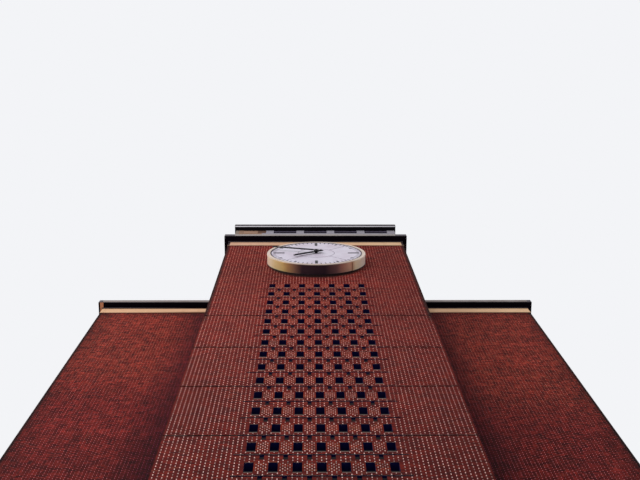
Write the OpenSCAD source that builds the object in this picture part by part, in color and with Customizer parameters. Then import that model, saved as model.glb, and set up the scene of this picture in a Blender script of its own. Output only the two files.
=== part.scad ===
// Brick clock tower, half its real size, in millimetres.
// A centre bay runs from front to back between two wings set back from its fronts.
// The origin is on the ground under the middle of the whole outline, with +Z up
// and the clock's side facing -Y.

/* [Brickwork] */
// Length of one brick with its joint
brick_l = 112.5; // [100:0.5:120]
// Height of one course with its joint
course_h = 37.5; // [34:0.5:40]
// Thickness of every brick wall
wall_t = 225; // [160:5:300]
// How far a set-back course lies behind the wall's face
shadow_d = 12; // [6:1:20]

/* [Plan] */
// Width of the centre bay
bay_w = 3881; // [3400:1:4600]
// Depth of the centre bay from front to back
bay_d = 6750; // [6000:10:8000]
// Width of one wing, measured out from the bay
wing_w = 2890; // [2200:10:3600]
// How far a wing's face is set back from the bay's face
wing_setback = 1547; // [1000:1:2200]

/* [Heights] */
// Height of the walls from the ground to the underside of the cornice
wall_top = 23362.5; // [22000:0.5:25000]
// Height of the cream frieze at the top of the walls
frieze_h = 375; // [200:5:500]
// How far the frieze stands proud of the brick face
frieze_proud = 8; // [4:1:20]

/* [Cornice] */
// How far the roof slabs stand out beyond the front and back walls
cornice_over = 138; // [80:1:220]
// How far the roof slabs stand out beyond the side walls
cornice_side = 104; // [60:1:200]
// Thickness of the roof slab
cornice_h = 170; // [100:5:250]

/* [Grille] */
// Columns of holes
grille_cols = 7; // [3:1:9]
// Rows of holes
grille_rows = 19; // [6:1:22]
// Height of the top row's centre above the ground
grille_top_z = 19650; // [18500:5:19800]
// Distance between columns, in bricks
col_bricks = 2.5; // [2:0.5:3]
// Distance between rows, in courses
row_courses = 15; // [12:1:18]
// Height of one hole, in courses
hole_courses = 6; // [4:1:6]
// Courses of the grille's panel above its top row of holes
head_courses = 4; // [3:1:6]
// Brickwork of the panel on each side of its outer holes
panel_side = 140; // [100:5:260]
// Width of the small recess between two columns
notch_w = 56; // [40:1:80]
// Height of that recess, in courses
notch_courses = 2; // [1:1:2]
// Depth of that recess
notch_d = 51; // [30:1:80]
// Rows from one full-width set-back course to the next
storey_rows = 3; // [2:1:4]

/* [Clock] */
// Height of the clock's centre above the top row of holes
clock_rise = 1815; // [1650:5:2200]
// Outer radius of the drum
drum_r = 1010; // [800:5:1150]
// How far the drum stands out from the wall
drum_d = 207; // [120:1:260]
// Thickness of the drum's side
drum_t = 12; // [6:1:30]
// Width of the flat ring at the drum's front
bezel_w = 65; // [40:1:90]
// Thickness of that ring
bezel_t = 14; // [8:1:20]
// How far the dial's face lies behind the front of that ring
dial_recess = 4; // [2:0.5:8]
// Thickness of the dial
dial_t = 14; // [10:1:20]
// Gap between the ring and the outer ends of the hour marks
mark_gap = 60; // [20:5:110]
// Length of the marks at 12, 3, 6 and 9
mark_bold_l = 230; // [150:5:280]
// Width of the marks at 12, 3, 6 and 9
mark_bold_w = 56; // [40:1:90]
// Length of the other marks
mark_l = 80; // [50:5:200]
// Width of the other marks
mark_w = 30; // [20:1:60]
// Thickness of a mark
mark_t = 4; // [2:1:6]
// Hour shown
hour = 7; // [0:1:11]
// Minute shown
minute = 48; // [0:1:59]
// How far the minute hand's tip stays inside the drum's rim
minute_short = 50; // [20:5:200]
// Width of the minute hand at the hub
minute_w = 56; // [30:1:80]
// How far the hour hand's tip stays inside the drum's rim
hour_short = 445; // [300:5:600]
// Width of the hour hand at the hub
hour_w = 66; // [40:1:100]
// Length of the tail of each hand
tail_l = 150; // [110:5:240]
// Thickness of each hand
hand_t = 12; // [8:1:16]
// Gap between the marks and the hour hand
hour_gap = 25; // [10:1:60]
// Gap between the two hands
hand_gap = 18; // [8:1:40]
// Radius of the minute hand's arbor
arbor_r = 18; // [10:0.5:22]
// Wall of the hour hand's pipe and of the dial's bush
pipe_t = 12; // [6:0.5:16]
// Radial running clearance at the arbor and at the pipe
run_clear = 0.05; // [0.01:0.01:0.1]

/* [Lantern] */
// How far the lantern's walls are set in from the bay's walls
lantern_inset = 55; // [20:1:120]
// Height of the lantern's base wall above the roof slab
lantern_base_h = 1000; // [700:5:1300]
// Thickness of the lantern's walls and posts
lantern_t = 180; // [120:5:240]
// Width of one post
post_w = 180; // [120:5:240]
// Height of the openings between the posts
lantern_open_h = 300; // [200:5:450]
// Openings along the front
front_bays = 5; // [3:1:7]
// Openings along each side
side_bays = 9; // [5:1:12]
// Height of the rail in its opening, as a share of the room for it
rail_share = 0.8; // [0.3:0.05:0.95]
// Size of the square rail
rail_s = 26; // [16:1:40]
// How far the rails lie behind the posts' faces
rail_back = 4; // [0:1:60]
// How far the infill panel lies behind the posts' faces
infill_back = 30; // [10:1:60]
// Thickness of the infill panel
infill_t = 60; // [30:5:90]
// How far the lantern's roof stands out beyond the front and back posts
lantern_over = 87; // [40:1:120]
// How far it stands out beyond the side posts
lantern_side = 28; // [15:1:100]
// Thickness of the lantern's roof slab
lantern_roof_h = 110; // [70:5:160]
// Thickness of the cap on that slab
cap_h = 130; // [60:5:180]
// How far the cap stands out beyond the slab
cap_over = 8; // [4:1:30]

/* [Hidden] */
$fn = 96;

brick_red = [0.45, 0.21, 0.17];
cream = [0.84, 0.70, 0.58];
soffit_black = [0.09, 0.08, 0.09];
lantern_grey = [0.62, 0.60, 0.64];
lantern_tan = [0.66, 0.53, 0.43];
drum_gold = [0.66, 0.52, 0.26];
bezel_cream = [0.88, 0.80, 0.68];
dial_white = [0.86, 0.84, 0.90];
hand_black = [0.10, 0.08, 0.11];

// Heights of the brick walls and of the roof
brick_top = wall_top - frieze_h;
roof_top = wall_top + cornice_h;

// Grille: the panel's top and bottom lie on course lines
col_pitch = col_bricks * brick_l;
row_pitch = row_courses * course_h;
hole_h = hole_courses * course_h;
panel_w = (grille_cols - 1) * col_pitch + brick_l + 2 * panel_side;
panel_top = grille_top_z + hole_h / 2 + head_courses * course_h;
panel_bottom = panel_top - grille_rows * row_pitch;
// A set-back course lies this far below a row's centre, top edge first
shadow_drop = 6 * course_h;
storey_pitch = storey_rows * row_pitch;
first_storey_z = grille_top_z - storey_pitch - shadow_drop - course_h;

// Clock: distances of its layers in front of the wall's face
clock_z = grille_top_z + clock_rise;
dial_face = drum_d - dial_recess;
hour_back = dial_face + mark_t + hour_gap;
hour_face = hour_back + hand_t;
minute_back = hour_face + hand_gap;
minute_face = minute_back + hand_t;
hub_face = minute_face + hand_t;
hour_angle = 30 * hour + minute / 2;
minute_angle = 6 * minute;
// Radii that follow the drum's
dial_r = drum_r - bezel_w;
mark_r = dial_r - mark_gap;
minute_l = drum_r - minute_short;
hour_l = drum_r - hour_short;
pipe_in_r = arbor_r + run_clear;
pipe_out_r = pipe_in_r + pipe_t;
bush_in_r = pipe_out_r + run_clear;
bush_out_r = bush_in_r + pipe_t;
hub_r = bush_out_r + pipe_t;
shaft_depth = drum_d / 2;
tip_taper = 0.65;
tail_taper = 0.85;

// Lantern
lantern_w = bay_w - 2 * lantern_inset;
lantern_d = bay_d - 2 * lantern_inset;
base_top = roof_top + lantern_base_h;
posts_top = base_top + lantern_open_h;
rail_z = base_top + rail_share * (lantern_open_h - rail_s);
front_step = (lantern_w - post_w) / front_bays;
side_step = (lantern_d - post_w) / side_bays;
cap_bottom = posts_top + lantern_roof_h;

// The bay's outline along Y, used to stand the origin under the middle
front_reach = max(cornice_over, hub_face);
back_reach = cornice_over;
middle_y = (bay_d + back_reach - front_reach) / 2;

// Moves a piece from the drawing's frame, with the bay's face at y = 0, to the origin's
module placed() {
    translate([0, -middle_y, 0]) children();
}

// A copy turned half round the middle of the plan, for the back of the bay
module turned() {
    translate([0, bay_d, 0]) rotate([0, 0, 180]) children();
}

// A block from its low corner to its high corner
module block(low, high) {
    translate(low) cube(high - low);
}

// A block of brick wall facing -Y with its set-back storey courses
module front_wall(x0, x1, z0, z1) {
    difference() {
        block([x0, 0, z0], [x1, wall_t, z1]);
        for (z = [first_storey_z : -storey_pitch : 0])
            if (z > z0 && z + course_h < z1)
                block([x0 - 1, -1, z], [x1 + 1, shadow_d, z + course_h]);
    }
}

// An upright plate facing -Y: the outline is drawn in X and Z, y0 is its front
module plate(y0, thick) {
    translate([0, y0 + thick, 0]) rotate([90, 0, 0]) linear_extrude(thick) children();
}

module hole_outlines() {
    for (i = [0 : grille_cols - 1], k = [0 : grille_rows - 1])
        translate([(i - (grille_cols - 1) / 2) * col_pitch - brick_l / 2,
                   grille_top_z - k * row_pitch - hole_h / 2])
            square([brick_l, hole_h]);
}

module notch_outlines() {
    for (i = [0 : grille_cols - 2], k = [0 : grille_rows - 2])
        translate([(i - (grille_cols - 2) / 2) * col_pitch - notch_w / 2,
                   grille_top_z - k * row_pitch - shadow_drop - notch_courses * course_h])
            square([notch_w, notch_courses * course_h]);
}

module shadow_outlines() {
    for (k = [0 : grille_rows - 1])
        translate([-panel_w / 2 - 1, grille_top_z - k * row_pitch - shadow_drop - course_h])
            square([panel_w + 2, course_h]);
}

module panel_outline() {
    translate([-panel_w / 2, panel_bottom]) square([panel_w, panel_top - panel_bottom]);
}

// Three layers: set-back courses and recesses, recesses alone, then holes alone
module grille() {
    color(brick_red) {
        plate(0, shadow_d) difference() {
            panel_outline();
            hole_outlines();
            notch_outlines();
            shadow_outlines();
        }
        plate(shadow_d, notch_d - shadow_d) difference() {
            panel_outline();
            hole_outlines();
            notch_outlines();
        }
        plate(notch_d, wall_t - notch_d) difference() {
            panel_outline();
            hole_outlines();
        }
    }
}

module base_wall() {
    color(brick_red) front_wall(-bay_w / 2, bay_w / 2, 0, panel_bottom);
}

// side is -1 for the left pier and 1 for the right one
module pier(side) {
    color(brick_red)
        if (side < 0) front_wall(-bay_w / 2, -panel_w / 2, panel_bottom, panel_top);
        else front_wall(panel_w / 2, bay_w / 2, panel_bottom, panel_top);
}

module head_wall() {
    color(brick_red) front_wall(-bay_w / 2, bay_w / 2, panel_top, brick_top);
}

module return_wall(side) {
    inner = side * (bay_w / 2 - wall_t);
    outer = side * bay_w / 2;
    color(brick_red)
        block([min(inner, outer), wall_t, 0], [max(inner, outer), wing_setback, brick_top]);
}

module wing_front(side) {
    inner = side * (bay_w / 2 - wall_t);
    outer = side * (bay_w / 2 + wing_w);
    color(brick_red)
        block([min(inner, outer), wing_setback, 0],
              [max(inner, outer), wing_setback + wall_t, brick_top]);
}

module wing_side(side) {
    inner = side * (bay_w / 2 + wing_w - wall_t);
    outer = side * (bay_w / 2 + wing_w);
    low_y = wing_setback + wall_t;
    color(brick_red)
        block([min(inner, outer), low_y, 0], [max(inner, outer), bay_d - low_y, brick_top]);
}

module mirrored_to_back() {
    translate([0, bay_d, 0]) mirror([0, 1, 0]) children();
}

// The frieze round one end of the bay
module bay_frieze() {
    color(cream) translate([0, 0, brick_top]) linear_extrude(frieze_h) {
        translate([-bay_w / 2 - frieze_proud, -frieze_proud])
            square([bay_w + 2 * frieze_proud, wall_t + frieze_proud]);
        for (side = [-1, 1])
            translate([side * (bay_w / 2 - (wall_t - frieze_proud) / 2) - (wall_t + frieze_proud) / 2,
                       0])
                square([wall_t + frieze_proud, wing_setback - frieze_proud]);
    }
}

// Three sides round a wing: a block less the wing's inside, which is open to the bay
module wing_frieze(side) {
    inner = side * (bay_w / 2 - wall_t);
    outer = side * (bay_w / 2 + wing_w + frieze_proud);
    inside_from = inner - side;
    inside_to = side * (bay_w / 2 + wing_w - wall_t);
    low_y = wing_setback - frieze_proud;
    inside_y = wing_setback + wall_t;
    color(cream) difference() {
        block([min(inner, outer), low_y, brick_top], [max(inner, outer), bay_d - low_y, wall_top]);
        block([min(inside_from, inside_to), inside_y, brick_top - 1],
              [max(inside_from, inside_to), bay_d - inside_y, wall_top + 1]);
    }
}

module bay_roof() {
    reach = bay_w / 2 + cornice_side;
    color(soffit_black)
        block([-reach, -cornice_over, wall_top], [reach, bay_d + cornice_over, roof_top]);
}

module wing_roof(side) {
    inner = side * (bay_w / 2 + cornice_side);
    outer = side * (bay_w / 2 + wing_w + cornice_side);
    edge = wing_setback - cornice_over;
    color(soffit_black)
        block([min(inner, outer), edge, wall_top], [max(inner, outer), bay_d - edge, roof_top]);
}

module lantern_base_end() {
    color(lantern_grey)
        block([-lantern_w / 2, lantern_inset, roof_top],
              [lantern_w / 2, lantern_inset + lantern_t, base_top]);
}

module lantern_base_side(side) {
    inner = side * (lantern_w / 2 - lantern_t);
    outer = side * lantern_w / 2;
    low_y = lantern_inset + lantern_t;
    color(lantern_grey)
        block([min(inner, outer), low_y, roof_top], [max(inner, outer), bay_d - low_y, base_top]);
}

// The row of posts across one end, its corner posts among them
module lantern_posts_end() {
    color(lantern_grey)
        for (i = [0 : front_bays])
            translate([-lantern_w / 2 + i * front_step, lantern_inset, base_top])
                cube([post_w, lantern_t, lantern_open_h]);
}

// The posts between the corner posts along one side
module lantern_posts_side(side) {
    color(lantern_grey)
        for (i = [1 : side_bays - 1])
            translate([side * (lantern_w - lantern_t) / 2 - lantern_t / 2,
                       lantern_inset + i * side_step, base_top])
                cube([lantern_t, post_w, lantern_open_h]);
}

module end_rails(first_bay) {
    for (i = [first_bay : front_bays - 1])
        translate([-lantern_w / 2 + post_w + i * front_step, lantern_inset + rail_back, rail_z])
            cube([front_step - post_w, rail_s, rail_s]);
}

// A side's end bays are narrower where a corner post is deeper than it is wide
module side_rails(side) {
    for (i = [0 : side_bays - 1]) {
        low = i == 0 ? lantern_inset + lantern_t : lantern_inset + i * side_step + post_w;
        high = i == side_bays - 1 ? bay_d - lantern_inset - lantern_t : lantern_inset + (i + 1) * side_step;
        translate([side * (lantern_w / 2 - rail_back - rail_s / 2) - rail_s / 2, low, rail_z])
            cube([rail_s, high - low, rail_s]);
    }
}

module lantern_rails() {
    color(lantern_grey) {
        end_rails(1);
        turned() end_rails(0);
        side_rails(-1);
        side_rails(1);
    }
}

// The panel that fills the front's left opening
module lantern_infill() {
    color(lantern_tan)
        translate([-lantern_w / 2 + post_w, lantern_inset + infill_back, base_top])
            cube([front_step - post_w, infill_t, lantern_open_h]);
}

// A slab over the lantern that stands out by more than its roof's own overhang
module lantern_slab(more, z0, thick) {
    reach = lantern_w / 2 + lantern_side + more;
    edge = lantern_inset - lantern_over - more;
    block([-reach, edge, z0], [reach, bay_d - edge, z0 + thick]);
}

module lantern_roof() {
    color(lantern_grey) lantern_slab(0, posts_top, lantern_roof_h);
}

module lantern_cap() {
    color(soffit_black) lantern_slab(cap_over, cap_bottom, cap_h);
}

// Turns a piece drawn round the Z axis, with +Z towards the wall, to the clock's centre.
// depth is how far its low end stands in front of the wall's face
module on_clock(depth) {
    translate([0, -depth, clock_z]) rotate([-90, 0, 0]) children();
}

module clock_drum() {
    side_d = drum_d - bezel_t;
    color(drum_gold) on_clock(side_d) difference() {
        cylinder(h = side_d, r = drum_r);
        translate([0, 0, -1]) cylinder(h = side_d + 2, r = drum_r - drum_t);
    }
}

module clock_bezel() {
    color(bezel_cream) on_clock(drum_d) difference() {
        cylinder(h = bezel_t, r = drum_r);
        translate([0, 0, -1]) cylinder(h = bezel_t + 2, r = dial_r);
    }
}

// The dial fills the ring and carries the bush that the hour hand's pipe turns in
module clock_dial() {
    color(dial_white) on_clock(dial_face) difference() {
        union() {
            cylinder(h = dial_t, r = dial_r);
            cylinder(h = shaft_depth, r = bush_out_r);
        }
        translate([0, 0, -1]) cylinder(h = shaft_depth + 2, r = bush_in_r);
    }
}

// Draws in X and Z about the clock's centre, seen from the front, at a clockwise angle
module dial_plate(depth, thick, angle) {
    translate([0, -depth + thick, clock_z]) rotate([90, 0, 0])
        linear_extrude(thick) rotate([0, 0, -angle]) children();
}

module hour_marks() {
    color(hand_black)
        for (i = [0 : 11]) {
            w = i % 3 == 0 ? mark_bold_w : mark_w;
            l = i % 3 == 0 ? mark_bold_l : mark_l;
            dial_plate(dial_face + mark_t, mark_t, 30 * i)
                translate([-w / 2, mark_r - l]) square([w, l]);
        }
}

// Outline of a hand pointing at 12: widest at the hub, narrower at its tip and tail
module hand_outline(length, width) {
    tip = width * tip_taper / 2;
    tail = width * tail_taper / 2;
    polygon([[-width / 2, 0], [-tip, length], [tip, length],
             [width / 2, 0], [tail, -tail_l], [-tail, -tail_l]]);
}

// The pipe runs back through the dial's bush
module hour_hand() {
    color(hand_black) difference() {
        union() {
            dial_plate(hour_face, hand_t, hour_angle) hand_outline(hour_l, hour_w);
            on_clock(hour_face) cylinder(h = hand_t, r = hub_r);
            on_clock(hour_face) cylinder(h = hour_face - dial_face + shaft_depth, r = pipe_out_r);
        }
        on_clock(hour_face + 1)
            cylinder(h = hour_face - dial_face + shaft_depth + 2, r = pipe_in_r);
    }
}

// The arbor runs back through the hour hand's pipe
module minute_hand() {
    color(hand_black) {
        dial_plate(minute_face, hand_t, minute_angle) hand_outline(minute_l, minute_w);
        on_clock(minute_face) cylinder(h = hand_t, r = hub_r);
        on_clock(hub_face) cylinder(h = hub_face - dial_face + shaft_depth, r = arbor_r);
    }
}

placed() base_wall();  // front_base
placed() pier(-1);  // front_pier_left
placed() pier(1);  // front_pier_right
placed() head_wall();  // front_head
placed() grille();  // front_grille
placed() turned() base_wall();  // back_base
placed() turned() pier(1);  // back_pier_left
placed() turned() pier(-1);  // back_pier_right
placed() turned() head_wall();  // back_head
placed() turned() grille();  // back_grille
placed() return_wall(-1);  // front_return_left
placed() return_wall(1);  // front_return_right
placed() turned() return_wall(1);  // back_return_left
placed() turned() return_wall(-1);  // back_return_right
placed() wing_front(-1);  // wing_left_front
placed() wing_side(-1);  // wing_left_side
placed() mirrored_to_back() wing_front(-1);  // wing_left_back
placed() wing_front(1);  // wing_right_front
placed() wing_side(1);  // wing_right_side
placed() mirrored_to_back() wing_front(1);  // wing_right_back
placed() bay_frieze();  // front_frieze
placed() turned() bay_frieze();  // back_frieze
placed() wing_frieze(-1);  // wing_left_frieze
placed() wing_frieze(1);  // wing_right_frieze
placed() bay_roof();
placed() wing_roof(-1);  // wing_left_roof
placed() wing_roof(1);  // wing_right_roof
placed() lantern_base_end();  // lantern_base_front
placed() turned() lantern_base_end();  // lantern_base_back
placed() lantern_base_side(-1);  // lantern_base_left
placed() lantern_base_side(1);  // lantern_base_right
placed() lantern_posts_end();  // lantern_posts_front
placed() turned() lantern_posts_end();  // lantern_posts_back
placed() lantern_posts_side(-1);  // lantern_posts_left
placed() lantern_posts_side(1);  // lantern_posts_right
placed() lantern_rails();
placed() lantern_infill();
placed() lantern_roof();
placed() lantern_cap();
placed() clock_drum();
placed() clock_bezel();
placed() clock_dial();
placed() hour_marks();
placed() hour_hand();
placed() minute_hand();
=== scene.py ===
"""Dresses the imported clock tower: brickwork, render, metal edges, lantern trims and the clock's face."""
import math
import bpy
import numpy as np
from mathutils import Matrix, Vector


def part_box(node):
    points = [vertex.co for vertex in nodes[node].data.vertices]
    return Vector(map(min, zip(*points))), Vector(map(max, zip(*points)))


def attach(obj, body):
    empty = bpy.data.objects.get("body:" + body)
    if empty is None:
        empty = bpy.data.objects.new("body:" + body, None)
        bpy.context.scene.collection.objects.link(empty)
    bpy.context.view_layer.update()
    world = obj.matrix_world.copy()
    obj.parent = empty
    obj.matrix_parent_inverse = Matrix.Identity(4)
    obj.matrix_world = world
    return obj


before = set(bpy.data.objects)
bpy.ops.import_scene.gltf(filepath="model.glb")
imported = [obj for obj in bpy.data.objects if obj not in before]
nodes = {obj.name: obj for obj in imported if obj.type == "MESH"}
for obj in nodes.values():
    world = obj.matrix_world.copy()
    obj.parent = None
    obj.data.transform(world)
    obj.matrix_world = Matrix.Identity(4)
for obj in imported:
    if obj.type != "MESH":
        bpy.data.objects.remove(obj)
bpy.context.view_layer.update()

# Sizes read from the frame, in metres
FRONT_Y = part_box("front_base")[0].y
BACK_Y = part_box("back_base")[1].y
MIDDLE_Y = (FRONT_Y + BACK_Y) / 2
HALF_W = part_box("front_base")[1].x
WING_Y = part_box("wing_right_front")[0].y
WING_BACK_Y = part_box("wing_right_back")[1].y
WING_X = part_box("wing_right_front")[1].x
BRICK_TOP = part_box("front_head")[1].z
WALL_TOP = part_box("front_frieze")[1].z
ROOF_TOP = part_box("bay_roof")[1].z
PANEL_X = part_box("front_grille")[1].x
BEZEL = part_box("clock_bezel")
BEZEL_FRONT = BEZEL[0].y
BEZEL_BACK = BEZEL[1].y
CLOCK_Z = (BEZEL[0].z + BEZEL[1].z) / 2
DRUM_R = (BEZEL[1].z - BEZEL[0].z) / 2
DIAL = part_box("clock_dial")
DIAL_R = (DIAL[1].z - DIAL[0].z) / 2
DIAL_Y = DIAL[0].y
HUB_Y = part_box("minute_hand")[0].y
HOUR_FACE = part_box("hour_hand")[0].y

# Brickwork, as the walls are laid out. Upright joints are drawn wide, to show from the ground
COURSE = 0.0375
BRICK = 0.1125
JOINT = 0.005
UPRIGHT = 0.012
UPRIGHT_WING = 0.009
PROUD = 0.004
SET_BACK = 0.012
COURSES = round(BRICK_TOP / COURSE)

# The grille. Courses are counted from the ground, and a row of holes goes by the course over its middle
COLUMNS = 7
COL_PITCH = 2.5 * BRICK
COLUMNS_X = (COLUMNS - 1) / 2 * COL_PITCH + BRICK / 2
ROW_PITCH = 15
TOP_ROW = 524
BOTTOM_ROW = TOP_ROW - 18 * ROW_PITCH
HOLE_ROWS = range(TOP_ROW, BOTTOM_ROW - 1, -ROW_PITCH)
NOTCH_W = 0.056

# Courses of each feature, from its row of holes: lowest and how many
HOLE = (-3, 6)
DARK_UNDER_HOLE = (-4, 1)
NOTCH = (-8, 2)
DARK_UNDER_NOTCH = (-10, 2)
SET_BACK_ROW = -7

# Storeys: one set-back course each, right across the bay
STOREY_PITCH = 45
TOP_STOREY = 472
STOREY_COURSES = {TOP_STOREY - STOREY_PITCH * k for k in range(11)}

# Tones over the height of the walls: from, to, factor at from, factor at to
BAY_LOW = (9.0, 16.0, 0.69, 1.0)
BAY_HIGH = (18.0, 21.0, 1.0, 0.92)
WING_LOW = (13.5, 16.9, 0.8, 1.0)
# The wings' painted shadow, whose edge slants across them
WING_SHADOW_EDGE = (16.9, 18.9, 0.84, 1.12)
# Painted shade under the cornice
SHADE_UNDER_CORNICE = (BRICK_TOP - 0.42, BRICK_TOP - 0.08, 1.0, 0.62)

# The clock's hands at rest, in degrees clockwise from 12
MINUTE_AT = 288
HOUR_AT = 234


def srgb(r, g, b):
    """A colour given in 0 to 255, as linear numbers."""
    return tuple(
        c / 12.92 if c <= 0.04045 else ((c + 0.055) / 1.055) ** 2.4
        for c in (r / 255, g / 255, b / 255)
    )


# Painted shade, on faces that look down and in the holes
UNDERSIDE_SHADE = srgb(22, 8, 14)
HOLE_SHADE = srgb(14, 15, 66)


# Materials
def joined_by(operation):
    """A method that joins values, from the first to the last, by math nodes of one operation."""
    def join(self, first, *others):
        for other in others:
            first = self.math(operation, first, other)
        return first
    return join


class Nodes:
    """Shader nodes in one tree. A value is a number, a colour or what another node gives."""

    def __init__(self, tree):
        self.tree = tree

    def put(self, socket, value):
        if isinstance(value, bpy.types.NodeSocket):
            self.tree.links.new(value, socket)
        elif socket.type == "RGBA":
            socket.default_value = (*value[:3], 1.0)
        else:
            socket.default_value = value

    def add(self, kind, inputs=None, output=0, **settings):
        made = self.tree.nodes.new("ShaderNode" + kind)
        for key, value in settings.items():
            setattr(made, key, value)
        for key, value in (inputs or {}).items():
            self.put(made.inputs[key], value)
        return made.outputs[output]

    def math(self, operation, a, b=0.5):
        return self.add("Math", {0: a, 1: b}, operation=operation)

    plus = joined_by("ADD")
    minus = joined_by("SUBTRACT")
    times = joined_by("MULTIPLY")
    modulo = joined_by("FLOORED_MODULO")
    most = joined_by("MAXIMUM")
    less = joined_by("LESS_THAN")
    more = joined_by("GREATER_THAN")

    def size(self, a):
        return self.math("ABSOLUTE", a)


class Graph(Nodes):
    """One procedural material, built node by node."""

    def __init__(self, name, roughness=0.8, specular=0.3, metallic=0.0):
        self.material = bpy.data.materials.new(name)
        self.material.use_nodes = True
        super().__init__(self.material.node_tree)
        self.surface = next(n for n in self.tree.nodes if n.type == "BSDF_PRINCIPLED")
        self.surface.inputs["Roughness"].default_value = roughness
        self.surface.inputs["Specular IOR Level"].default_value = specular
        self.surface.inputs["Metallic"].default_value = metallic
        self.place = self.add("TexCoord", output="Object")
        self.at_x, self.at_y, self.at_z = self.parts(self.place)
        self.normal = self.parts(self.add("NewGeometry", output="True Normal"))

    def parts(self, vector):
        made = self.tree.nodes.new("ShaderNodeSeparateXYZ")
        self.tree.links.new(vector, made.inputs[0])
        return tuple(made.outputs)

    def vector(self, x, y, z):
        return self.add("CombineXYZ", {0: x, 1: y, 2: z})

    def noise(self, scale, detail=3.0, stretch=(1, 1, 1)):
        """A noise value about 0.5, at so many cycles a metre."""
        place = self.add("VectorMath", {0: self.place, 1: stretch}, operation="MULTIPLY")
        inputs = {"Vector": place, "Scale": scale, "Detail": detail, "Roughness": 0.55}
        return self.add("TexNoise", inputs)

    def random(self, x, y, z, output="Value"):
        """A random value, or three, for each x, y and z."""
        inputs = {"Vector": self.vector(x, y, z)}
        return self.add("TexWhiteNoise", inputs, output, noise_dimensions="3D")

    def spread(self, value, low, high, to_low=0.0, to_high=1.0):
        inputs = {0: value, 1: low, 2: high, 3: to_low, 4: to_high}
        return self.add("MapRange", inputs, clamp=True)

    def mix(self, factor, a, b, blend="MIX"):
        """Two colours mixed. The node's colours are its inputs 6 and 7 and its output 2."""
        made = self.tree.nodes.new("ShaderNodeMix")
        made.data_type = "RGBA"
        made.blend_type = blend
        self.put(made.inputs[0], factor)
        self.put(made.inputs[6], a)
        self.put(made.inputs[7], b)
        return made.outputs[2]

    def tint(self, colour, factors):
        return self.mix(1.0, colour, factors, "MULTIPLY")

    def scale(self, colour, factor):
        return self.add("VectorMath", {0: colour, "Scale": factor}, operation="SCALE")

    def ramp(self, value, stops):
        made = self.tree.nodes.new("ShaderNodeValToRGB")
        elements = made.color_ramp.elements
        while len(elements) < len(stops):
            elements.new(0.5)
        for element, (where, colour) in zip(elements, stops):
            element.position = where
            element.color = (*colour[:3], 1.0)
        self.tree.links.new(value, made.inputs[0])
        return made.outputs[0]

    def finish(self, colour, rough, height, distance, strength=0.6):
        """Sets colour, roughness and a bump of so many metres, and gives the material."""
        bump = {"Height": height, "Distance": distance, "Strength": strength}
        self.put(self.surface.inputs["Base Color"], colour)
        self.put(self.surface.inputs["Roughness"], rough)
        self.put(self.surface.inputs["Normal"], self.add("Bump", bump))
        return self.material


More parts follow.
